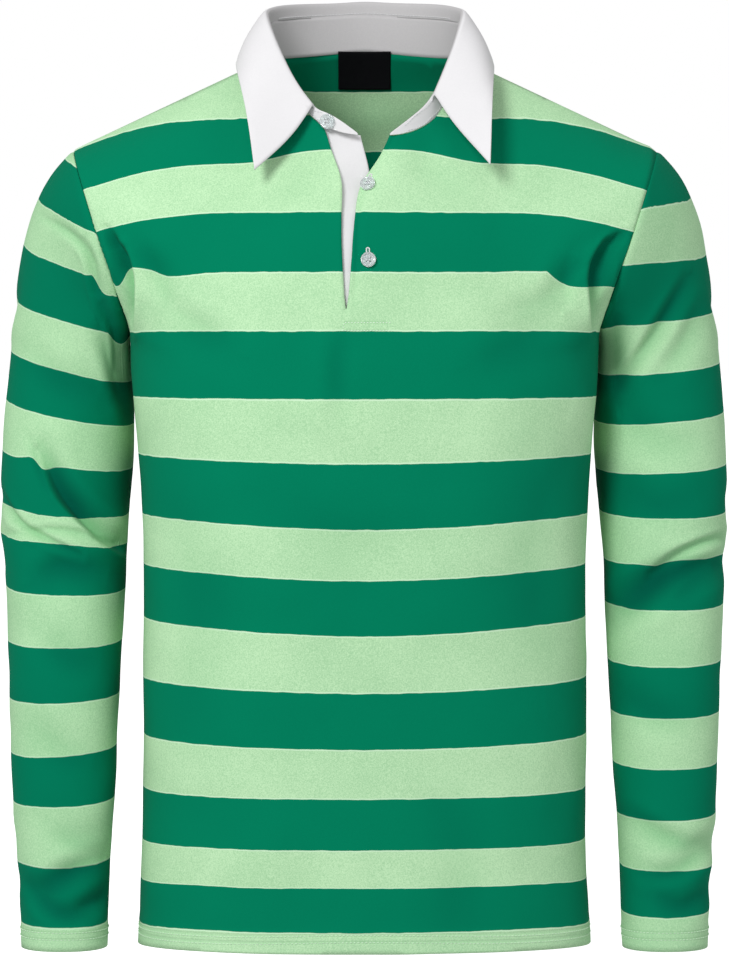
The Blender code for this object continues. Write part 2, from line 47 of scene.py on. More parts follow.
# --- Striped jersey: the front and the back ---
# Two panels of matt cotton jersey, yarn-dyed in stripes of dark green and mint across the body.
# They are sewn together at the shoulders and sides, and the sleeves are sewn into their armholes.

# The outer side of a panel is lifted off its solid, smoothed, creased and given its thickness.
JERSEY_THICKNESS = 1.1
JERSEY_SMOOTHING = 2
WELDED = 0.002
EDGE_TURN = 55
# The size, height and seed of each ripple in it
JERSEY_RIPPLES = ((75, 1.6, 3.7), (26, 0.5, 11.2))
# A seam joins rims that are this near. It sinks in, puffs up beside it and calms the cloth.
SEAM_REACH, SEAM_WIDTH = 2.5, 2.2
SEAM_SINK, SEAM_PUFF = 0.8, 0.3
PUFF_PLACE, PUFF_WIDTH = 2.6, 1.3
SEAM_CALM = 6
# The knit's loops, flecks and worn patches, and the waver of the stripes' edges, in metres
LOOP_SIZE, FLECK_SIZE, WORN_SIZE, WAVER_SIZE = 1 / 1900, 0.0011, 0.07, 0.012
BODY_HALF_WIDTH, BODY_HALF_DEPTH, BODY_RADIUS = 180, 115, 150

# The hem is turned up once and sewn with two rows.
HEM_HEIGHT = -693
HEM_SIDE_DROP = 5
HALF_WIDTH = 230
TURN_UP = 16.5
TURN_UP_SWELL = 0.6
TURN_UP_EDGE = 2.5
TURN_UP_ROWS = (9.5, 15)

# Height of each stripe's upper edge, from the shoulder down. The yoke is mint.
LOWER_EDGES = (-266.5, -315, -366.5, -404.5, -448, -491, -535.5, -572.5, -613, -641.5, -676.5)
FRONT_EDGES = (-50, -86, -123, -169.5, -213.5, *LOWER_EDGES)
BACK_EDGES = (10, -23.5, -71, -107, -144, -183, -223, *LOWER_EDGES)
TOP_STRIPE, BOTTOM_STRIPE = 60, 45
# How much lower the stripes lie at the side than in the middle. The upper ones drop only near
# the armhole, and the lower ones, which rise instead, bow all the way across.
SIDE_DROP = (
    (0, 4), (-50, 4.5), (-86, 5.5), (-124, 5), (-169, 4), (-214, 1), (-265, 0), (-317, -5),
    (-364, -9), (-406, -8), (-446, -9), (-493, -5), (-534, -4), (-574, 0), (-611, 1),
    (-642, 2), (-700, 2),
)
DROP_START, DROP_REACH = 110, 56
BOW_REACH, BOW_POWER = 170, 1.6
# They rise at the top of the placket.
PLACKET_LIFT, LIFT_HEIGHT, LIFT_REACH, LIFT_HALF_WIDTH = 11, -78, 24, 70
# The slit's middle, by height, and how much further than the solid's its edges stand apart there
SLIT_HEIGHTS = (-199, -185, -165, -145, -123, -108, -92)
SLIT_MIDDLE = (-14, -13.8, -13.8, -14.4, -12.4, -11.2, -9)
SLIT_OPENED = (0, 0.9, 1.4, 2.0, 2.3, 1.4, 0)
SLIT_REACH = 8
# The two short rows at the placket's foot
FOOT_MIDDLE = -210.5
FOOT_ROWS = (-3, 3)
FOOT_LEFT, FOOT_RIGHT = -15.5, 21.5
FOOT_CUT_OFF = 20

Crease = namedtuple("Crease", "depth left right step line")


def crease(depth, left, right, *line, step=0):
    """A crease: its depth, its widths to the left and right of its line, the line as seen from
    one side, and how far the stripes step across it."""
    return Crease(depth, left, right, step, line)


FRONT_CREASES = (
    crease(4.5, 3, 5, (-198, -135), (-192, -147), (-186, -159), (-183, -172)),
    crease(8.5, 4, 9, (-188, -152), (-184, -168), (-183, -186), (-184, -214)),
    crease(0, 7, 8, (-198, -138), (-192, -162), (-190, -180), (-189, -214), step=-24),
    crease(-2.4, 6, 4, (-182, -148), (-175, -164), (-174, -184), (-178, -214)),
    crease(2.6, 10, 6, (-176, -150), (-163, -166), (-156, -182), (-148, -196), step=5),
    crease(2.2, 9, 16, (-160, -196), (-132, -208), (-104, -226)),
    crease(4, 5, 3, (200, -139), (191, -144), (184, -152), (179, -164)),
    crease(8.5, 9, 4, (188, -148), (181, -158), (178, -172), (179, -190), (181, -214)),
    crease(0, 26, 1, (140, -146), (140, -168), (142, -190), step=30),
    crease(0.9, 2, 2, (24, -62), (16, -76), (8, -87), (1, -98), (-4.5, -126), (-6, -160),
           (-9, -200)),
    crease(-2, 4, 6, (180, -148), (170, -158), (167, -172), (169, -190), (174, -214)),
    crease(2.6, 5, 11, (166, -158), (157, -174), (154, -192), step=4),
    crease(2.2, 15, 9, (160, -172), (138, -192), (112, -204)),
    crease(1.8, 16, 10, (150, -206), (118, -226), (88, -238)),
    crease(1.6, 8, 8, (-17, -216), (-20, -242), (-18, -276)),
    crease(-1.4, 11, 11, (-30, -214), (-33, -250), (-34, -300)),
    crease(1.4, 12, 12, (-40, -86), (-54, -104), (-78, -118)),
    crease(1.6, 10, 12, (40, -84), (58, -98), (84, -108)),
    crease(1.8, 26, 18, (-150, -330), (-128, -420), (-140, -520)),
    crease(2, 18, 26, (152, -300), (128, -380), (136, -480)),
    crease(1.8, 22, 22, (60, -560), (74, -620), (70, -688)),
    crease(-1.6, 24, 24, (-70, -580), (-84, -640), (-80, -690)),
    crease(1.4, 20, 30, (-60, -350), (-20, -372), (30, -366)),
)
BACK_CREASES = (
    crease(4.5, 14, 6, (-200, -132), (-188, -154), (-180, -182), (-178, -204), step=3),
    crease(2.2, 12, 9, (-174, -158), (-148, -180), (-118, -192)),
    crease(4.8, 6, 14, (200, -134), (186, -156), (176, -178), (174, -202), step=-3),
    crease(2, 9, 13, (172, -164), (140, -188), (108, -206)),
    crease(1.6, 14, 14, (-60, -30), (-20, -46), (30, -44), (66, -32)),
    crease(1.4, 20, 14, (-96, -240), (-70, -300), (-74, -360)),
    crease(1.6, 14, 22, (20, -300), (34, -390), (24, -470)),
    crease(1.4, 24, 16, (110, -330), (92, -420), (100, -500)),
    crease(-1.2, 24, 24, (-40, -520), (-52, -600), (-48, -690)),
    crease(1.2, 20, 20, (120, -560), (112, -640), (118, -690)),
)
# A crease this deep gets the full painted shade, cloth beside one this narrow is divided once
# more, and the stripes step on one side only where the other side is as narrow as the last.
DEEP_CREASE, NARROW, STEPLESS = 7, 5, 1
# A swell beside each crease: its place and spread, in widths of the crease, and its height
SWELL_PLACE, SWELL_SPREAD, SWELL_SHARE = 1.9, 0.5, 0.22
STEP_WIDTHS, STEP_SHARPNESS = 3.5, 1.4
END_FADE = 0.7
# How far cloth may turn from a view before nothing is pressed into it
FACING_START, FACING_RANGE = -0.05, 0.45
TURNED_AWAY = -0.1


def deselect_all():
    bpy.ops.object.select_all(action="DESELECT")


def work_on(piece):
    deselect_all()
    piece.select_set(True)
    bpy.context.view_layer.objects.active = piece


def enter(mode):
    bpy.ops.object.mode_set(mode=mode)


def edit_only(piece, parts, chosen):
    """Opens a piece for editing, with only the chosen of its faces or points selected."""
    work_on(piece)
    enter("EDIT")
    bpy.ops.mesh.select_all(action="DESELECT")
    enter("OBJECT")
    for part in parts:
        part.select = chosen(part)
    enter("EDIT")


def apply_modifier(piece, kind, **settings):
    work_on(piece)
    modifier = piece.modifiers.new(kind.lower(), kind)
    for setting, value in settings.items():
        setattr(modifier, setting, value)
    bpy.ops.object.modifier_apply(modifier=modifier.name)


def lift_cloth(node, name, smoothing, outermost):
    """The outer side of a sewn piece's solid, as one smooth open sheet of quads.

    It starts at the outermost face and ends where the solid turns over its edge.
    """
    piece = bpy.data.objects.new(name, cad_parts[node].data.copy())
    bpy.context.scene.collection.objects.link(piece)
    piece.data.materials.clear()
    work_on(piece)
    enter("EDIT")
    bpy.ops.mesh.select_all(action="SELECT")
    bpy.ops.mesh.remove_doubles(threshold=WELDED * MM)
    enter("OBJECT")
    start = max(piece.data.polygons, key=lambda face: outermost(face.center, face.normal)).index
    edit_only(piece, piece.data.polygons, lambda face: face.index == start)
    bpy.ops.mesh.select_mode(type="FACE")
    bpy.ops.mesh.faces_select_linked_flat(sharpness=math.radians(EDGE_TURN))
    bpy.ops.mesh.select_all(action="INVERT")
    bpy.ops.mesh.delete(type="FACE")
    bpy.ops.mesh.select_all(action="SELECT")
    bpy.ops.mesh.tris_convert_to_quads(face_threshold=math.pi, shape_threshold=math.pi)
    bpy.ops.mesh.mark_sharp(clear=True)
    enter("OBJECT")
    bpy.ops.object.shade_smooth()
    apply_modifier(piece, "SUBSURF", levels=smoothing, render_levels=smoothing,
                   boundary_smooth="PRESERVE_CORNERS")
    return piece


def points_of(piece):
    places = np.empty(3 * len(piece.data.vertices))
    piece.data.vertices.foreach_get("co", places)
    return places.reshape(-1, 3) / MM


def normals_of(piece):
    normals = np.empty(3 * len(piece.data.vertices))
    piece.data.vertex_normals.foreach_get("vector", normals)
    return normals.reshape(-1, 3)


def place_points(piece, points):
    piece.data.vertices.foreach_set("co", (points * MM).ravel())
    piece.data.update()


def smooth_step(t):
    t = np.clip(t, 0, 1)
    return t * t * (3 - 2 * t)


def rounded(line, steps=6):
    """The line's points, with a smooth curve between them."""
    points = [np.array(point, float) for point in line]
    points = [2 * points[0] - points[1], *points, 2 * points[-1] - points[-2]]
    curve = []
    for before, start, end, after in zip(points, points[1:], points[2:], points[3:]):
        for i in range(steps):
            t = i / steps
            bend = 2 * before - 5 * start + 4 * end - after
            twist = 3 * start - before - 3 * end + after
            curve.append(0.5 * (2 * start + (end - before) * t + bend * t**2 + twist * t**3))
    return curve + [points[-2]]


def across_line(line, seen):
    """Signed distance of each point from a line, left positive, and the share of its length."""
    curve = rounded(line)
    lengths = [np.linalg.norm(b - a) for a, b in zip(curve, curve[1:])]
    whole, passed = sum(lengths), 0
    best = np.full(len(seen), 1e9)
    signed, share = np.zeros(len(seen)), np.zeros(len(seen))
    for a, b, length in zip(curve, curve[1:], lengths):
        along = (b - a) / length
        place = seen - a
        t = np.clip(place @ along, 0, length)
        off = place - np.outer(t, along)
        distance = np.linalg.norm(off, axis=1)
        closer = distance < best
        side = np.sign(along[0] * place[:, 1] - along[1] * place[:, 0])
        best[closer] = distance[closer]
        signed[closer] = (side * distance)[closer]
        share[closer] = (passed + t)[closer] / whole
        passed += length
    return signed, share


def press_creases(points, normals, creases, view):
    """Presses creases into the cloth that faces a view.

    Returns the moved points, how far the stripes step at each and its painted shade in a crease.
    A crease's line goes by X and height, or by Y and height on cloth that faces sideways.
    """
    flat_axis = 1 if abs(view[0]) > abs(view[1]) else 0
    facing = smooth_step((normals @ view - FACING_START) / FACING_RANGE)
    moved, step, painted_crease_shade = points.copy(), np.zeros(len(points)), np.zeros(len(points))
    seen = points[:, (flat_axis, 2)]
    for crease in creases:
        signed, share = across_line(crease.line, seen)
        width = np.where(signed > 0, crease.left, crease.right)
        fade = np.sin(np.pi * (0.06 + 0.88 * share)) ** END_FADE * facing
        trough = np.exp(-((signed / width) ** 2)) * fade
        beside = np.abs(signed) / width - SWELL_PLACE
        swell = np.exp(-(beside**2) / SWELL_SPREAD) * fade * SWELL_SHARE
        moved -= normals * (crease.depth * (trough - swell))[:, None]
        if crease.depth > 0:
            painted_crease_shade = np.maximum(painted_crease_shade, trough * min(crease.depth / DEEP_CREASE, 1))
        reach = np.exp(-((signed / (STEP_WIDTHS * width)) ** 2)) * facing * (width > STEPLESS)
        reach *= np.sin(np.pi * np.clip(share, 0, 1)) ** END_FADE
        step += crease.step * np.tanh(signed / width * STEP_SHARPNESS) * reach * 0.5
    return moved, step, painted_crease_shade


def ripple(points, normals, size, height, seed):
    """Low, uneven swells, as in cloth that has been worn."""
    swell = np.array([noise.noise(Vector(p / size + seed)) for p in points])
    return points + normals * (swell * height)[:, None]


def rim_edges(piece):
    """The ends of each edge that lies on the rim of a sheet."""
    shape = bmesh.new()
    shape.from_mesh(piece.data)
    rim = [[v.index for v in e.verts] for e in shape.edges if e.is_boundary]
    shape.free()
    return np.array(rim)


def nearest_on_rim(place, points, normals, rim):
    """The nearest point of a rim to a place, and the cloth's normal there."""
    start, end = points[rim[:, 0]], points[rim[:, 1]]
    along = end - start
    t = np.einsum("ij,ij->i", place - start, along) / np.einsum("ij,ij->i", along, along)
    t = np.clip(t, 0, 1)[:, None]
    found = start + along * t
    i = np.argmin(np.linalg.norm(place - found, axis=1))
    a, b = rim[i]
    return found[i], normals[a] * (1 - t[i]) + normals[b] * t[i]


class Seams:
    """A panel's sewn rims: how far each point is from one, and the way out that both share."""

    def __init__(self, node):
        panel = jersey[node]
        self.points, self.normals = points_of(panel), normals_of(panel)
        others = [rim for other, rim in rims.items() if other != node]
        places, ways = [], []
        closed = self.points.copy()
        for i in np.unique(rim_edges(panel)):
            found = [nearest_on_rim(self.points[i], *other) for other in others]
            found = [(p, n) for p, n in found if np.linalg.norm(p - self.points[i]) < SEAM_REACH]
            if found:
                closed[i] = np.mean([self.points[i], *(p for p, _ in found)], axis=0)
                way = self.normals[i] + sum(n for _, n in found)
                places.append(self.points[i])
                ways.append(way / np.linalg.norm(way))
        self.points = closed
        tree = KDTree(len(places))
        for i, place in enumerate(places):
            tree.insert(place, i)
        tree.balance()
        found = [tree.find(p) for p in self.points]
        self.distance = np.array([distance for _, _, distance in found])
        shared = np.array([ways[i] for _, i, _ in found])
        near = np.exp(-((self.distance / SEAM_CALM) ** 2))[:, None]
        way = shared * near + self.normals * (1 - near)
        self.way = way / np.linalg.norm(way, axis=1)[:, None]

    def roll_in(self, points):
        """Rolls the cloth in at a sewn rim, with a soft swell beside it."""
        groove = SEAM_SINK * np.exp(-((self.distance / SEAM_WIDTH) ** 2))
        beside = (self.distance / SEAM_WIDTH - PUFF_PLACE) / PUFF_WIDTH
        swell = SEAM_PUFF * np.exp(-(beside**2))
        return points + self.way * (swell - groove)[:, None]


def keep_values(piece, name, values):
    piece.data.attributes.new(name, "FLOAT", "POINT").data.foreach_set("value", values)


def keep_weave(piece, around, along):
    """Lays the cloth's own measures, in metres, on its UV map, for the pattern of its knit."""
    uv = piece.data.uv_layers.new(name="weave")
    corners = np.empty(len(piece.data.loops), int)
    piece.data.loops.foreach_get("vertex_index", corners)
    uv.data.foreach_set("uv", np.column_stack((around, along))[corners].ravel() * MM)


def stripe_count(height, edges, first):
    """How many stripe edges lie above each height, with the share of the stripe it is in."""
    levels = np.array(edges, float)
    top, bottom = levels[0] + TOP_STRIPE, levels[-1] - BOTTOM_STRIPE
    levels = np.concatenate(([top], levels, [bottom]))
    return np.interp(-height, -levels, first + np.arange(len(levels)))


def body_stripes(points, step, edges, has_placket):
    x, height = np.abs(points[:, 0]), points[:, 2]
    depths, drops = zip(*sorted(SIDE_DROP))
    drop = np.interp(height, depths, drops)
    late = (np.maximum(x - DROP_START, 0) / DROP_REACH) ** 2
    drop *= np.where(drop > 0, late, (x / BOW_REACH) ** BOW_POWER)
    lift = np.zeros(len(points))
    if has_placket:
        above = (height - LIFT_HEIGHT) / LIFT_REACH
        lift = PLACKET_LIFT * np.exp(-(above**2) - (x / LIFT_HALF_WIDTH) ** 4)
    return stripe_count(height + drop - lift + step, edges, 0)


def body_weave(points):
    turn = np.arctan2(points[:, 0] / BODY_HALF_WIDTH, -points[:, 1] / BODY_HALF_DEPTH)
    return turn * BODY_RADIUS, points[:, 2]


class Value:
    """A shader value, on which sums and products add their own Math nodes."""

    def __init__(self, finish, socket):
        self.finish, self.socket = finish, socket

    def math(self, operation, *others):
        return self.finish.node("ShaderNodeMath", {"operation": operation}, self, *others)

    def __add__(self, other):
        return self.math("ADD", other)

    def __sub__(self, other):
        return self.math("SUBTRACT", other)

    def __mul__(self, other):
        return self.math("MULTIPLY", other)

    def __rsub__(self, other):
        return self.finish.node("ShaderNodeMath", {"operation": "SUBTRACT"}, other, self)

    __radd__, __rmul__ = __add__, __mul__

    def between(self, low, high):
        """0 up to low and 1 from high on, with a smooth rise."""
        return self.finish.node(
            "ShaderNodeMapRange", {"interpolation_type": "SMOOTHSTEP"}, self, low, high, 0.0, 1.0
        )


class Finish:
    """A material whose nodes are added one by one."""

    def __init__(self, name, **constants):
        self.material = bpy.data.materials.new(name)
        self.material.use_nodes = True
        self.tree = self.material.node_tree
        self.shader = self.tree.nodes["Principled BSDF"]
        for socket, value in constants.items():
            self.shader.inputs[socket.replace("_", " ")].default_value = value

    def node(self, kind, settings=None, *values, output=0, **named):
        """Adds a node: its settings first, then the values or links of its sockets."""
        made = self.tree.nodes.new(kind)
        for setting, value in (settings or {}).items():
            setattr(made, setting, value)
        for key, value in [*enumerate(values), *named.items()]:
            socket = made.inputs[key]
            if isinstance(value, Value):
                self.tree.links.new(value.socket, socket)
            elif value is not None:
                socket.default_value = value
        return Value(self, made.outputs[output])

    def kept(self, name):
        """A value that each piece keeps at its points."""
        return self.node("ShaderNodeAttribute", {"attribute_name": name}, output="Fac")

    def places(self):
        return self.node("ShaderNodeTexCoord", output="Object")

    def cloud(self, size, detail=2.0, roughness=0.5, where=None):
        """Noise between 0 and 1 whose patches are about that many metres across."""
        return self.node(
            "ShaderNodeTexNoise", {}, where or self.places(), None, 1 / size, detail, roughness
        )

    def mixed(self, share, first, second):
        """A colour mixed from two."""
        unused = [None] * 5
        return self.node(
            "ShaderNodeMix", {"data_type": "RGBA"}, share, *unused, first, second, output=2
        )

    def paint(self, socket, value):
        self.tree.links.new(value.socket, self.shader.inputs[socket])

    def emboss(self, height, strength, depth):
        bump = {"Strength": strength, "Distance": depth * MM, "Height": height}
        self.paint("Normal", self.node("ShaderNodeBump", **bump))


def jersey_finish():
    """Matt cotton cloth. Colour goes by the stripes that each panel keeps."""
    green, deep_green = (0.0, 0.228, 0.115, 1), (0.0, 0.185, 0.096, 1)
    mint, dull_mint = (0.585, 0.87, 0.54, 1), (0.375, 0.655, 0.37, 1)
    pale = (0.63, 0.88, 0.61, 1)
    green_shade, mint_shade = (0.0, 0.085, 0.055, 1), (0.17, 0.47, 0.21, 1)
    cloth = Finish(
        "striped_jersey", Sheen_Weight=0.01, Sheen_Roughness=0.5, Specular_IOR_Level=0.03
    )
    count = cloth.kept("stripes") + (cloth.cloud(WAVER_SIZE) - 0.5) * 0.03
    part = (count * 0.5).math("FRACT")
    is_green = part.between(0.497, 0.503) * (1.0 - part.between(0.994, 1.0))
    knit = cloth.node("ShaderNodeUVMap", {"uv_map": "weave"})
    loops = cloth.cloud(LOOP_SIZE, 1.0, 0.6, knit)
    flecks = cloth.cloud(FLECK_SIZE, 3.0, 0.75)
    worn = cloth.cloud(WORN_SIZE, 3.0)
    greens = cloth.mixed(flecks * 0.6 + worn * 0.4, deep_green, green)
    mints = cloth.mixed((flecks * 0.75 + worn * 0.25).between(0.33, 0.67), dull_mint, mint)
    colour = cloth.mixed(is_green, mints, greens)
    # A pale line edges each stripe, and painted shade darkens deep creases and rows of stitches.
    edge = ((count + 0.5).math("FRACT") - 0.5).math("ABSOLUTE")
    colour = cloth.mixed(1.0 - edge.between(0.006, 0.018), colour, pale)
    shade = cloth.mixed(is_green, mint_shade, green_shade)
    colour = cloth.mixed(cloth.kept("painted_crease_shade") * 0.75, colour, shade)
    dent_and_painted_shade = 0.0
    for kept, rows, near, far in (
        ("from_hem", TURN_UP_ROWS, 0.4, 1.8), ("from_foot", FOOT_ROWS, 0.3, 1.3)
    ):
        height = cloth.kept(kept)
        for row in rows:
            dent_and_painted_shade = 1.0 - (height - row).math("ABSOLUTE").between(near, far) + dent_and_painted_shade
    # Painted shade: the dents of the stitch rows are coloured darker, as well as pressed in.
    colour = cloth.mixed(dent_and_painted_shade * 0.35, colour, cloth.mixed(is_green, dull_mint, deep_green))
    cloth.paint("Base Color", colour)
    cloth.paint("Roughness", 0.82 + flecks * 0.14)
    cloth.emboss(loops * 0.6 + flecks * 0.4 - dent_and_painted_shade * 1.5, 0.4, 0.6)
    return cloth.material


def make_cloth(piece, node, thickness, material):
    """Gives a sheet its thickness and puts it in its solid's place."""
    apply_modifier(piece, "SOLIDIFY", thickness=thickness * MM, offset=-1)
    piece.data.materials.append(material)
    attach(piece, "root")
    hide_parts(node)


striped_jersey = jersey_finish()


def refine_near(panel, creases, view, reach):
    """Divides the faces of one side that lie that many crease widths from a crease."""
    points = points_of(panel)
    close = np.zeros(len(points), bool)
    for crease in creases:
        signed, _ = across_line(crease.line, points[:, (0, 2)])
        close |= np.abs(signed) < reach * max(crease.left, crease.right)
    close &= normals_of(panel) @ view > TURNED_AWAY
    edit_only(panel, panel.data.polygons, lambda face: all(close[v] for v in face.vertices))
    bpy.ops.mesh.subdivide(number_cuts=1, smoothness=0)
    enter("OBJECT")


def refine_side(panel, creases, view):
    """Divides the cloth round the creases of one side, and once more at the narrow ones."""
    refine_near(panel, creases, view, 2)
    refine_near(panel, [c for c in creases if min(c.left, c.right) < NARROW], view, 1)


def body_hem(x):
    return HEM_HEIGHT - HEM_SIDE_DROP * (x / HALF_WIDTH) ** 2


def shape_cloth(node, pressed, hem_at, shade=0.0):
    """Presses a panel's creases, ripples it, rolls in its seams and turns up its hem.

    pressed pairs each side's view with its creases. Returns the plain panel's points and how far
    the stripes step at each.
    """
    seams = Seams(node)
    points, normals = seams.points, seams.normals
    hem = hem_at(points[:, 0])
    calm = smooth_step(seams.distance / SEAM_CALM)[:, None]
    shaped, step, painted_crease_shade = points, np.zeros(len(points)), np.full(len(points), shade)
    for view, creases in pressed:
        moved, own_step, own_painted_shade = press_creases(points, normals, creases, view)
        shaped = shaped + (moved - points) * calm
        step += own_step
        painted_crease_shade = np.maximum(painted_crease_shade, shade + own_painted_shade * calm[:, 0])
    # The painted shade of deep creases, and of the whole piece where shade is given, goes into
    # its colour.
    keep_values(jersey[node], "painted_crease_shade", painted_crease_shade)
    for size, height, seed in JERSEY_RIPPLES:
        shaped = shaped + (ripple(points, normals, size, height, seed) - points) * calm
    from_hem = points[:, 2] - hem
    doubled = TURN_UP_SWELL * (1 - smooth_step((from_hem - TURN_UP) / TURN_UP_EDGE))
    place_points(jersey[node], seams.roll_in(shaped + normals * doubled[:, None]))
    keep_values(jersey[node], "from_hem", from_hem)
    return points, step


# The four panels are cut together, because they share their seams.
jersey = {
    node: lift_cloth(node, "jersey_" + node, JERSEY_SMOOTHING, outermost)
    for node, outermost in (
        ("front", lambda place, normal: -place.y - normal.y),
        ("back", lambda place, normal: place.y + normal.y),
        ("sleeve_left", lambda place, normal: -place.x - normal.x),
        ("sleeve_right", lambda place, normal: place.x + normal.x),
    )
}
rims = {node: (points_of(p), normals_of(p), rim_edges(p)) for node, p in jersey.items()}


def open_slit(points):
    """Moves the slit's two edges apart."""
    off = points[:, 0] - np.interp(points[:, 2], SLIT_HEIGHTS, SLIT_MIDDLE)
    apart = np.interp(points[:, 2], SLIT_HEIGHTS, SLIT_OPENED, left=0, right=0)
    points[:, 0] += np.sign(off) * apart * np.exp(-((off / SLIT_REACH) ** 2))
    return points


def make_body_panel(node, view, creases, edges):
    """The front or the back, creased, rippled and striped."""
    panel = jersey[node]
    refine_side(panel, creases, view)
    points, step = shape_cloth(node, [(view, creases)], body_hem)
    keep_values(panel, "stripes", body_stripes(points, step, edges, node == "front"))
    if node == "front":
        beside = np.maximum(FOOT_LEFT - points[:, 0], points[:, 0] - FOOT_RIGHT)
        from_foot = (points[:, 2] - FOOT_MIDDLE) * (1 + FOOT_CUT_OFF * np.maximum(beside, 0))
        keep_values(panel, "from_foot", from_foot)
    keep_weave(panel, *body_weave(points))
    make_cloth(panel, node, JERSEY_THICKNESS, striped_jersey)
    return panel


place_points(jersey["front"], open_slit(points_of(jersey["front"])))
front = make_body_panel("front", (0, -1, 0), FRONT_CREASES, FRONT_EDGES)
back = make_body_panel("back", (0, 1, 0), BACK_CREASES, BACK_EDGES)


# --- Sleeves ---
# Two long set-in sleeves of the same jersey, each one panel closed by an underarm seam and sewn
# into its armhole. They crumple at the elbow and above the cuff.

# Height of each stripe's upper edge in the middle of the left and the right sleeve, and its rise
# for each millimetre outwards
SLEEVE_EDGES = {
    -1: (
        (-78, 0.7), (-125, 0.55), (-163, 0.36), (-207, 0.28), (-246, 0.25), (-284, 0.2),
        (-321, 0.15), (-360, 0.1), (-383, 0.1), (-422, 0.03), (-462, 0), (-506, -0.04),
        (-547, -0.06), (-587, -0.03), (-634, 0), (-683, 0),
    ),
    1: (
        (-118, 0.18), (-161, 0.08), (-209, 0.12), (-248, 0.08), (-288, 0.08), (-326.5, 0.05),
        (-362, 0), (-397, 0.04), (-433.5, 0), (-477, 0), (-518, 0), (-557, 0), (-598, 0),
        (-637, 0), (-674, 0),
    ),
}
FIRST_STRIPE = {-1: 0, 1: 1}
STRIPES_MIDDLE = {-1: 238, 1: 231}
CUFF_HEIGHT = -700
# The stripes climb a little behind this depth, which goes by height.
CLIMB = 0.10
SLEEVE_HEIGHTS = (-700, -500, -350, -240, -72)
CLIMB_FROM = (-58, -50, -34, -22, -10)
# The sleeve's middle line, by height
SLEEVE_DEPTH = (-20, -5, 15, 28, 5)
OUT_HEIGHTS, SLEEVE_OUT = (-700, -350, -212, -72), (237.5, 238, 230, 215)
SLEEVE_RADIUS = 45
# The sleeves hang back beside the body, where less light reaches them: painted shade all over.
SLEEVE_SHADE = 0.2

LEFT_SLEEVE_CREASES = (
    crease(2.8, 4, 3, (-252, -126), (-226, -142), (-214, -159), (-209, -184)),
    crease(2.2, 6, 3, (-217, -144), (-213, -160), (-209, -182), (-203, -206)),
    crease(0, 8, 1, (-219, -142), (-215, -160), (-211, -182), (-204, -212), step=30),
    crease(2.4, 4, 3, (-204, -196), (-197, -212), (-193, -228), (-192, -246)),
    crease(0, 8, 1, (-209, -192), (-202, -212), (-197, -230), (-195, -252), step=18),
    crease(4, 12, 6, (-206, -216), (-196, -246), (-184, -286)),
    crease(2, 3, 3, (-263, -298), (-258, -314), (-252, -332), (-247, -342), step=9),
    crease(8.5, 9, 4, (-254, -308), (-240, -337), (-225, -356), (-205, -375), (-182, -392)),
    crease(4, 2.5, 4, (-286, -342), (-279, -354), (-271, -364), (-262, -370.5), (-246, -378),
           (-222, -390)),
    crease(2.4, 2.2, 4, (-268, -372), (-254, -370), (-237, -370), (-218, -374), (-194, -383)),
    crease(1.6, 3, 3, (-284, -376), (-274, -373.5), (-262, -376)),
    crease(0, 8, 10, (-268, -364), (-238, -364), (-206, -358), step=5),
    crease(4.2, 8, 13, (-256, -408), (-240, -399), (-222, -400), (-200, -404)),
    crease(2.6, 14, 8, (-246, -604), (-226, -614), (-200, -622)),
    crease(5.2, 8, 11, (-260, -654), (-240, -643), (-222, -634), (-198, -628)),
    crease(4, 10, 6, (-268, -644), (-252, -662), (-232, -672), (-208, -668), step=3),
    crease(4, 6, 9, (-194, -650), (-210, -662), (-226, -668)),
    crease(2.4, 14, 14, (-264, -516), (-240, -540), (-212, -550)),
    crease(2.4, 10, 14, (-264, -230), (-240, -252), (-208, -264)),
    crease(2.2, 16, 12, (-250, -450), (-230, -470), (-206, -474)),
)
RIGHT_SLEEVE_CREASES = (
    crease(4.2, 7, 4.5, (252, -174), (232, -208), (214, -236), (198, -254)),
    crease(2.6, 9, 7, (264, -196), (250, -226), (234, -248)),
    crease(5, 12, 6, (196, -200), (194, -232), (198, -270)),
    crease(4.5, 5, 2.6, (292, -375), (276, -377), (258, -382), (240, -391), (222, -406), step=-7),
    crease(8, 13, 9, (276, -396), (246, -400), (220, -414), (192, -438)),
    crease(4, 10, 8, (290, -394), (262, -406), (240, -424)),
    crease(4.2, 7, 10, (206, -594), (232, -608), (254, -616), (276, -614)),
    crease(4.2, 9, 6, (222, -640), (248, -634), (276, -618)),
    crease(3.4, 7, 9, (226, -658), (250, -664), (276, -652)),
    crease(2.4, 14, 12, (202, -496), (226, -514), (258, -520)),
    crease(2.4, 12, 14, (200, -280), (232, -300), (266, -302)),
    crease(2.2, 14, 14, (200, -340), (232, -352), (262, -346)),
)
# These are given for the right sleeve and mirrored for the left.
SLEEVE_BACK_CREASES = (
    crease(4.5, 11, 7, (204, -172), (222, -206), (250, -226)),
    crease(3.2, 9, 12, (192, -258), (226, -284), (262, -284), step=3),
    crease(5.6, 7, 11, (194, -344), (230, -354), (268, -336), step=4),
    crease(5, 11, 7, (200, -390), (232, -406), (278, -396)),
    crease(3, 14, 10, (204, -468), (232, -488), (266, -482)),
    crease(4.4, 8, 11, (202, -600), (232, -614), (266, -604)),
    crease(3.8, 10, 7, (206, -652), (234, -644), (266, -654)),
)
SLEEVE_OUTER_CREASES = (
    crease(3.4, 11, 8, (12, -188), (36, -208), (66, -212)),
    crease(3.6, 8, 11, (10, -348), (26, -360), (50, -350), step=2),
    crease(3.2, 11, 8, (8, -398), (24, -390), (46, -400)),
    crease(2.2, 12, 12, (-4, -490), (14, -500), (34, -494)),
    crease(3.2, 8, 11, (-14, -616), (2, -606), (22, -612)),
    crease(2.8, 10, 8, (-18, -650), (0, -660), (18, -654)),
)


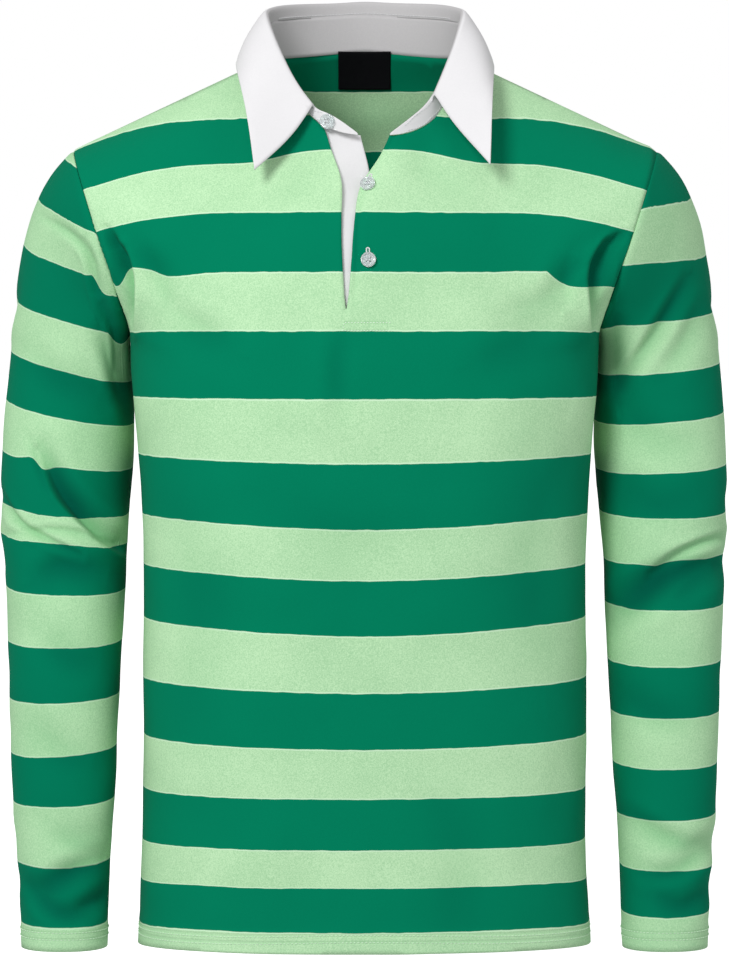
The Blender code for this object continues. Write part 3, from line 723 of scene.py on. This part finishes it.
def sleeve_stripes(points, step, side):
    heights, leans = zip(*SLEEVE_EDGES[side])
    lean = np.interp(points[:, 2], heights[::-1], leans[::-1])
    out = side * points[:, 0] - STRIPES_MIDDLE[side]
    behind = points[:, 1] - np.interp(points[:, 2], SLEEVE_HEIGHTS, CLIMB_FROM)
    climb = lean * out + CLIMB * np.maximum(behind, 0)
    return stripe_count(points[:, 2] - climb + step, heights, FIRST_STRIPE[side])


def sleeve_weave(points, side):
    out = side * points[:, 0] - np.interp(points[:, 2], OUT_HEIGHTS, SLEEVE_OUT)
    behind = points[:, 1] - np.interp(points[:, 2], SLEEVE_HEIGHTS, SLEEVE_DEPTH)
    return np.arctan2(out, -behind) * SLEEVE_RADIUS, points[:, 2]


def cuff_hem(_):
    return CUFF_HEIGHT


def make_sleeve(node, side, front_creases):
    sleeve = jersey[node]
    back_creases = [
        c._replace(line=[(side * x, height) for x, height in c.line]) for c in SLEEVE_BACK_CREASES
    ]
    pressed = (
        ((0, -1, 0), front_creases), ((0, 1, 0), back_creases),
        ((side, 0, 0), SLEEVE_OUTER_CREASES),
    )
    refine_side(sleeve, front_creases, (0, -1, 0))
    points, step = shape_cloth(node, pressed, cuff_hem, SLEEVE_SHADE)
    keep_values(sleeve, "stripes", sleeve_stripes(points, step, side))
    keep_weave(sleeve, *sleeve_weave(points, side))
    make_cloth(sleeve, node, JERSEY_THICKNESS, striped_jersey)
    return sleeve


sleeves = {
    -1: make_sleeve("sleeve_left", -1, LEFT_SLEEVE_CREASES),
    1: make_sleeve("sleeve_right", 1, RIGHT_SLEEVE_CREASES),
}


# --- Collar ---
# A shirt collar of white cotton twill: a stand sewn into the neckline and a fall with two long
# pointed leaves, sewn to the top of the stand and folded out over it.

TWILL_THICKNESS = 1.4
TWILL_SMOOTHING = 3
TWILL_RIPPLE = (40, 0.5, 5.1)
RIB_PITCH = 0.0011
# The stand is tucked under the fall and into the neckline, but not at its front ends.
TUCKED_UNDER_FALL = 1.0
TUCKED_IN_NECKLINE = 1.2
TUCK_START, TUCK_FADE = -68, 16
# The parts of the rims that show a row of stitches
STAND_ENDS = (-77, -40)
FALL_BACK, FALL_TOP, FALL_SIDE = 20, 10, 78
STITCH_INSET = 2.0
collar_rows = []


def twill_finish():
    """White cotton twill, with fine diagonal ribs."""
    twill = Finish("white_twill", Sheen_Weight=0.08, Specular_IOR_Level=0.25)
    place = twill.places()
    across, height = (
        twill.node("ShaderNodeSeparateXYZ", {}, place, output=axis) for axis in "XZ"
    )
    ribs = ((across + height) * (2 * math.pi / RIB_PITCH)).math("SINE") * 0.5 + 0.5
    cloud = twill.cloud(0.03, 3.0)
    flecks = twill.cloud(0.0012, 2.0)
    colour = twill.mixed(
        cloud * 0.5 + flecks * 0.5, (0.74, 0.735, 0.75, 1), (0.84, 0.83, 0.845, 1)
    )
    # Painted shade: the side that faces the neck is coloured a darker grey.
    painted_inner_shade = twill.mixed(flecks, (0.5, 0.49, 0.5, 1), (0.57, 0.56, 0.565, 1))
    colour = twill.mixed(twill.kept("inside"), colour, painted_inner_shade)
    twill.paint("Base Color", colour)
    twill.paint("Roughness", 0.75 + flecks * 0.2)
    twill.emboss(ribs * 0.5 + flecks * 0.5, 0.12, 0.3)
    return twill.material


white_twill = twill_finish()


def let_out(piece, length_at):
    """Lengthens a sheet beyond its rim, in its own surface, by so much at each place and way."""
    shape = bmesh.new()
    shape.from_mesh(piece.data)
    moves = []
    for vert in shape.verts:
        if vert.is_boundary:
            middle = sum((f.calc_center_median() for f in vert.link_faces), Vector())
            way = vert.co - middle / len(vert.link_faces)
            rim = [e for e in vert.link_edges if e.is_boundary]
            along = (rim[0].other_vert(vert).co - rim[-1].other_vert(vert).co).normalized()
            way -= along * way.dot(along)
            way = way.normalized()
            moves.append((vert, way * length_at(vert.co / MM, way) * MM))
    for vert, move in moves:
        vert.co += move
    shape.to_mesh(piece.data)
    shape.free()


def rim_row(piece, inset, chosen):
    """The places of a row of stitches just inside a sheet's rim, each with the way out."""
    shape = bmesh.new()
    shape.from_mesh(piece.data)
    left = {v for v in shape.verts if v.is_boundary and chosen(v.co / MM)}
    rows = []
    while left:
        ends = [v for v in left if sum(o in left for o in rim_neighbours(v)) < 2]
        vert = min(ends or left, key=lambda v: v.co.x)
        row = []
        while vert is not None:
            left.discard(vert)
            middle = sum((f.calc_center_median() for f in vert.link_faces), Vector())
            inward = (middle / len(vert.link_faces) - vert.co).normalized()
            row.append((vert.co + inward * inset * MM, vert.normal.copy()))
            vert = next((o for o in rim_neighbours(vert) if o in left), None)
        if len(row) > 4:
            rows.append(row)
    shape.free()
    return rows


def rim_neighbours(vert):
    return [e.other_vert(vert) for e in vert.link_edges if e.is_boundary]


def make_collar_piece(node, name, outermost, lengthened, stitched):
    piece = lift_cloth(node, name, TWILL_SMOOTHING, outermost)
    place_points(piece, ripple(points_of(piece), normals_of(piece), *TWILL_RIPPLE))
    collar_rows.extend(rim_row(piece, STITCH_INSET, stitched))
    let_out(piece, lengthened)
    make_cloth(piece, node, TWILL_THICKNESS, white_twill)
    # Little light reaches the side that faces the neck, so painted shade greys it.
    outward = points_of(piece)[:, :2]
    outward /= np.linalg.norm(outward, axis=1)[:, None]
    facing_out = np.einsum("ij,ij->i", normals_of(piece)[:, :2], outward)
    keep_values(piece, "inside", smooth_step((0.1 - facing_out) / 0.5))


def stand_tuck(place, way):
    tuck = TUCKED_UNDER_FALL if way.z > 0 else TUCKED_IN_NECKLINE
    return tuck * smooth_step((place.y - TUCK_START) / TUCK_FADE)


make_collar_piece(
    "collar_stand", "twill_stand", lambda place, normal: normal.x * place.x + normal.y * place.y,
    stand_tuck,
    lambda place: STAND_ENDS[0] < place.y < STAND_ENDS[1],
)
make_collar_piece(
    "collar_fall", "twill_fall", lambda place, normal: abs(place.x) + abs(normal.x) * 0.01,
    lambda place, way: 0,
    lambda place: place.y > FALL_BACK and place.z > FALL_TOP and abs(place.x) < FALL_SIDE,
)


# --- Under-placket ---
# A straight strip of the same twill behind the slit, which carries the two front buttons.

# Its top reaches up behind the stand, and most of all its right corner.
TOP_DRAWN_UP, TOP_REACH = (0, 2.2, 3.6), 20
CORNER_DRAWN_UP, CORNER_REACH = (-6.6, 0.6, 6.6), 14

under_placket = lift_cloth(
    "under_placket", "twill_under_placket", TWILL_SMOOTHING,
    lambda place, normal: -normal.y - abs(place.x),
)
points = points_of(under_placket)
top, right = points[:, 2].max(), points[:, 0].max()
upper = smooth_step((points[:, 2] - top + TOP_REACH) / TOP_REACH)
corner = upper * smooth_step((points[:, 0] - right + CORNER_REACH) / CORNER_REACH)
moves = np.outer(upper, TOP_DRAWN_UP) + np.outer(corner, CORNER_DRAWN_UP)
place_points(under_placket, points + moves)
make_cloth(under_placket, "under_placket", TWILL_THICKNESS, white_twill)


# --- Neck label ---
# A small label of black woven satin, bare on both sides, folded and held in the back neck seam.

LABEL_THICKNESS = 0.7
LABEL_RISE = 3.4
LABEL_HIDDEN = 1.6
LABEL_SMOOTHING = 3

neck_label = lift_cloth(
    "neck_label", "satin_neck_label", LABEL_SMOOTHING, lambda place, normal: -normal.y
)
points = points_of(neck_label)
upper, lower = (points[points[:, 2] == f(points[:, 2])].mean(axis=0) for f in (np.max, np.min))
up = (upper - lower) / np.linalg.norm(upper - lower)
share = (points - lower) @ up / np.linalg.norm(upper - lower)
place_points(neck_label, points + np.outer(LABEL_RISE - LABEL_HIDDEN * share, up))
satin = Finish("black_label", Specular_IOR_Level=0.12)
ribs = satin.node("ShaderNodeSeparateXYZ", {}, satin.places(), output="Z")
ribs = (ribs * (2 * math.pi / 0.0007)).math("SINE") * 0.5 + 0.5
lint = satin.cloud(0.002, 3.0, 0.7)
satin.paint("Base Color", satin.mixed(lint, (0.001, 0.001, 0.002, 1), (0.006, 0.006, 0.008, 1)))
satin.paint("Roughness", 0.5 + lint * 0.3)
satin.emboss(ribs, 0.2, 0.2)
make_cloth(neck_label, "neck_label", LABEL_THICKNESS, satin.material)


# --- Buttons ---
# Three clear polished buttons with a raised rim and four holes, each sewn on with two short runs
# of white thread. Two pass through buttonholes in the front's right edge, one sits on the stand.

BUTTON_RADIUS = 5.8
BUTTON_THICKNESS = 2.6
BUTTON_RIM = 1.3
BUTTON_DISH = 0.7
BUTTON_SLOPE = 0.5
BUTTON_ROUNDING = 0.4
HOLE_RADIUS = 0.75
HOLE_PLACE = 1.25
THREAD_RADIUS = 0.33
THREAD_OVERLAP = 1.2
SHANK_DEPTH = 1.5


def clear_finish():
    """Clear, slightly milky plastic."""
    clear = Finish(
        "clear_buttons", Specular_IOR_Level=0.7, Transmission_Weight=0.55, IOR=1.49,
        Coat_Weight=0.5,
    )
    milk = clear.cloud(0.004, 3.0)
    clear.paint("Base Color", clear.mixed(milk, (0.72, 0.8, 0.81, 1), (0.95, 0.98, 0.98, 1)))
    clear.paint("Roughness", 0.1 + milk * 0.15)
    return clear.material


def thread_finish(name, light, dark):
    """Twisted cotton thread."""
    thread = Finish(name, Specular_IOR_Level=0.2, Sheen_Weight=0.1)
    twist = thread.cloud(0.0006, 2.0)
    thread.paint("Base Color", thread.mixed(twist, dark, light))
    thread.paint("Roughness", 0.6 + twist * 0.3)
    thread.emboss(twist, 0.3, 0.1)
    return thread.material


clear_plastic = clear_finish()
white_thread = thread_finish("white_thread", (0.86, 0.86, 0.88, 1), (0.56, 0.58, 0.58, 1))


def model_button():
    """One button, facing up."""
    bpy.ops.mesh.primitive_cylinder_add(
        vertices=48, radius=BUTTON_RADIUS * MM, depth=BUTTON_THICKNESS * MM
    )
    button = bpy.context.active_object
    edit_only(button, button.data.polygons, lambda face: face.normal.z > 0.9)
    bpy.ops.mesh.inset(thickness=BUTTON_RIM * MM)
    bpy.ops.mesh.inset(thickness=BUTTON_SLOPE * MM)
    bpy.ops.transform.translate(value=(0, 0, -BUTTON_DISH * MM))
    enter("OBJECT")
    apply_modifier(
        button, "BEVEL", width=BUTTON_ROUNDING * MM, segments=3, limit_method="ANGLE"
    )
    for x in (-HOLE_PLACE, HOLE_PLACE):
        for y in (-HOLE_PLACE, HOLE_PLACE):
            bpy.ops.mesh.primitive_cylinder_add(
                vertices=16, radius=HOLE_RADIUS * MM, depth=3 * BUTTON_THICKNESS * MM,
                location=(x * MM, y * MM, 0),
            )
            drill = bpy.context.active_object
            apply_modifier(button, "BOOLEAN", operation="DIFFERENCE", object=drill)
            bpy.data.objects.remove(drill)
    work_on(button)
    bpy.ops.object.shade_smooth_by_angle(angle=math.radians(40))
    return button


def model_stitch(length, radius):
    """One stitch, lying along X with its face up. It is round and has few faces."""
    bpy.ops.mesh.primitive_uv_sphere_add(segments=6, ring_count=5, radius=1)
    stitch = bpy.context.active_object
    enter("EDIT")
    bpy.ops.mesh.select_all(action="SELECT")
    bpy.ops.transform.resize(value=(length * MM / 2, radius * MM, radius * MM))
    enter("OBJECT")
    bpy.ops.object.shade_smooth()
    return stitch


def set_down(model, name, place, along, out):
    """A copy of a small model, with its X along one way and its Z out of the cloth."""
    across = out.cross(along).normalized()
    along = across.cross(out).normalized()
    turn = Matrix((along, across, out.normalized())).transposed().to_4x4()
    piece = model.copy()
    piece.data = model.data.copy()
    piece.name = name
    piece.data.transform(Matrix.Translation(place) @ turn)
    bpy.context.scene.collection.objects.link(piece)
    return piece


def join_pieces(pieces, name, material):
    deselect_all()
    for piece in pieces:
        piece.select_set(True)
    bpy.context.view_layer.objects.active = pieces[0]
    bpy.ops.object.join()
    pieces[0].name = name
    pieces[0].data.materials.clear()
    pieces[0].data.materials.append(material)
    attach(pieces[0], "root")
    return pieces[0]


def button_stance(node):
    """The middle of a button's solid and the way that it faces."""
    points = points_of(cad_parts[node])
    middle = (points.min(axis=0) + points.max(axis=0)) / 2
    axis = np.linalg.svd(points - points.mean(axis=0))[2][2]
    axis *= -np.sign(axis[1])
    reach = (points - middle) @ axis
    return Vector((middle + axis * (reach.max() + reach.min()) / 2) * MM), Vector(axis)


button_model = model_button()
stay_model = model_stitch(2 * HOLE_PLACE + THREAD_OVERLAP, THREAD_RADIUS)
UP = Vector((0, 0, 1))
stays, stances = [], {}
for node in ("button_neck", "button_1", "button_2"):
    place, out = stances[node] = button_stance(node)
    button = set_down(button_model, "clear_" + node, place, UP, out)
    button.data.materials.append(clear_plastic)
    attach(button, "root")
    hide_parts(node)
    across = out.cross(UP).normalized()
    raised = out * (BUTTON_THICKNESS / 2 - BUTTON_DISH + THREAD_RADIUS) * MM
    for side in (-1, 1):
        at = place + across * side * HOLE_PLACE * MM + raised
        stays.append(set_down(stay_model, "stay", at, UP, out))
    stays.append(set_down(stay_model, "shank", place - out * SHANK_DEPTH * MM, out, UP))
join_pieces(stays, "button_threads", white_thread)
bpy.data.objects.remove(button_model)
bpy.data.objects.remove(stay_model)


# --- Stitching ---
# Hem and cuffs are sewn with two rows all round, the placket's foot with two short rows, and the
# collar's seams and edges with one. Two buttonholes are overcast with thread.

# Pitch and length of the stitches
HEM_STITCH = (3.0, 2.3)
PLACKET_STITCH = (2.4, 1.5)
COLLAR_STITCH = (2.6, 1.9)
ROW_THREAD = 0.42
# The share of a stitch's radius that it is lifted off the cloth
STITCH_LIFT = 0.4
BUTTONHOLE_RADIUS, BUTTONHOLE_THREAD = 1.15, 0.55
BUTTONHOLE_RISE = 8.5
# Places on the cloth are found from this far out.
FAR = 600
FLAT_STEPS = 40

mint_thread = thread_finish("mint_thread", (0.74, 0.93, 0.72, 1), (0.50, 0.74, 0.50, 1))
pale_thread = thread_finish("pale_thread", (0.86, 0.97, 0.85, 1), (0.66, 0.86, 0.66, 1))


def surface_of(*pieces):
    """The finished cloth of several pieces, for finding places on it."""
    shape = bmesh.new()
    for piece in pieces:
        shape.from_mesh(piece.data)
    tree = BVHTree.FromBMesh(shape)
    shape.free()
    return tree


def ring_rows(cloth, centre, hem_at):
    """Two rows round a hem or cuff, found from outside at their height above its edge."""
    rows = []
    for height in TURN_UP_ROWS:
        row = []
        for i in range(361):
            turn = math.radians(i)
            out = Vector((math.cos(turn), math.sin(turn), 0))
            x = centre[0] + out.x * HALF_WIDTH
            start = Vector((*centre, hem_at(min(abs(x), HALF_WIDTH)) + height)) * MM
            place, normal, _, _ = cloth.ray_cast(start + out * FAR * MM, -out)
            if place is not None:
                row.append((place, normal))
        rows.append(row)
    return rows


def flat_row(cloth, start, end):
    """A straight row on the front between two places seen from in front."""
    row = []
    for i in range(FLAT_STEPS + 1):
        x, z = (a + (b - a) * i / FLAT_STEPS for a, b in zip(start, end))
        place, normal, _, _ = cloth.ray_cast(Vector((x, -FAR, z)) * MM, Vector((0, 1, 0)))
        if place is not None:
            row.append((place, normal))
    return row


def sew(name, rows, stitch, material):
    """Lays stitches along rows of places on the cloth and joins them into one piece."""
    pitch, length = stitch
    model = model_stitch(length, ROW_THREAD)
    stitches = []
    for row in rows:
        passed, due = 0.0, pitch / 2
        for (a, out_a), (b, _) in zip(row, row[1:]):
            stretch = (b - a).length / MM
            while stretch > 1e-6 and due <= passed + stretch:
                at = a.lerp(b, (due - passed) / stretch) + out_a * ROW_THREAD * STITCH_LIFT * MM
                stitches.append(set_down(model, "stitch", at, b - a, out_a))
                due += pitch
            passed += stretch
    bpy.data.objects.remove(model)
    join_pieces(stitches, name, material)


front_cloth = surface_of(front)
rows = ring_rows(surface_of(front, back), (0, 0), body_hem)
sew("hem_stitches", rows, HEM_STITCH, mint_thread)
for side, name in ((-1, "left"), (1, "right")):
    middle = (side * SLEEVE_OUT[0], SLEEVE_DEPTH[0])
    rows = ring_rows(surface_of(sleeves[side]), middle, cuff_hem)
    sew(f"cuff_{name}_stitches", rows, HEM_STITCH, mint_thread)
low, high = (FOOT_MIDDLE + row for row in FOOT_ROWS)
rows = [flat_row(front_cloth, (FOOT_LEFT, z), (FOOT_RIGHT, z)) for z in (high, low)]
rows.append(flat_row(front_cloth, (FOOT_LEFT, high), (FOOT_LEFT - 1, low)))
sew("placket_stitches", rows, PLACKET_STITCH, pale_thread)
sew("collar_stitches", collar_rows, COLLAR_STITCH, white_thread)

# A ring of thread, drawn out upwards to the length of a buttonhole
bpy.ops.mesh.primitive_torus_add(
    major_segments=20, minor_segments=8,
    major_radius=BUTTONHOLE_RADIUS * MM, minor_radius=BUTTONHOLE_THREAD * MM,
)
hole_model = bpy.context.active_object
edit_only(hole_model, hole_model.data.vertices, lambda vert: vert.co.x > 0.1 * MM)
bpy.ops.transform.translate(value=(BUTTONHOLE_RISE * MM, 0, 0))
enter("OBJECT")
bpy.ops.object.shade_smooth()
buttonholes = []
for node in ("button_1", "button_2"):
    spot, normal, _, _ = front_cloth.find_nearest(stances[node][0])
    buttonholes.append(set_down(hole_model, "hole", spot, UP, normal))
join_pieces(buttonholes, "buttonhole_threads", white_thread)
bpy.data.objects.remove(hole_model)


# --- Stage ---
# A plain white floor, even white light from all round, a large soft lamp at the upper left and a
# weak one at the right.

FLOOR_HEIGHT = -0.78
BACKDROP_RADIUS = 24
ROOM_LIGHT = 0.52
WHITE = (1, 1, 1, 1)
LAMPS_AIM = (0, 0, -0.3)


def show_plain(piece, name, colour, glow):
    """A matt white surface that the camera sees but that lights nothing."""
    finish = Finish(
        name, Base_Color=colour, Roughness=1.0, Specular_IOR_Level=0.0, Emission_Color=WHITE,
        Emission_Strength=glow,
    )
    piece.name = name
    piece.data.materials.append(finish.material)
    piece.visible_diffuse = piece.visible_glossy = piece.visible_shadow = False


bpy.ops.mesh.primitive_circle_add(
    vertices=96, radius=BACKDROP_RADIUS, fill_type="NGON", location=(0, 0, FLOOR_HEIGHT)
)
show_plain(bpy.context.active_object, "floor", (0.9, 0.9, 0.9, 1), 0.75)
bpy.ops.mesh.primitive_uv_sphere_add(segments=48, ring_count=24, radius=BACKDROP_RADIUS)
show_plain(bpy.context.active_object, "backdrop", (0, 0, 0, 1), 1.0)

world = bpy.data.worlds.new("studio")
bpy.context.scene.world = world
world.use_nodes = True
background = world.node_tree.nodes["Background"]
background.inputs["Color"].default_value = WHITE
background.inputs["Strength"].default_value = ROOM_LIGHT


def add_lamp(name, location, size, energy):
    bpy.ops.object.light_add(type="AREA", location=location)
    lamp = bpy.context.active_object
    lamp.name = name
    lamp.data.shape = "DISK"
    lamp.data.size = size
    lamp.data.energy = energy
    towards = Vector(LAMPS_AIM) - lamp.location
    lamp.rotation_euler = towards.to_track_quat("-Z", "Y").to_euler()


add_lamp("key_light", (-1.3, -2.8, 1.5), size=1.2, energy=74)
add_lamp("fill_light", (2.2, -2.6, 0.2), size=1.6, energy=7)

# The camera looks slightly down on the shirt from the height of its chest.
CAMERA_DISTANCE = 3.4
CAMERA_HEIGHT = -0.175
LOOK_DROP = 0.158
CAMERA_LENS = 161.5
bpy.ops.object.camera_add(
    location=(0, -CAMERA_DISTANCE, CAMERA_HEIGHT),
    rotation=(math.pi / 2 - math.atan(LOOK_DROP / CAMERA_DISTANCE), 0, 0),
)
camera = bpy.context.active_object
camera.data.sensor_width = 36
camera.data.lens = CAMERA_LENS
bpy.context.scene.camera = camera
bpy.context.scene.view_settings.view_transform = "Standard"
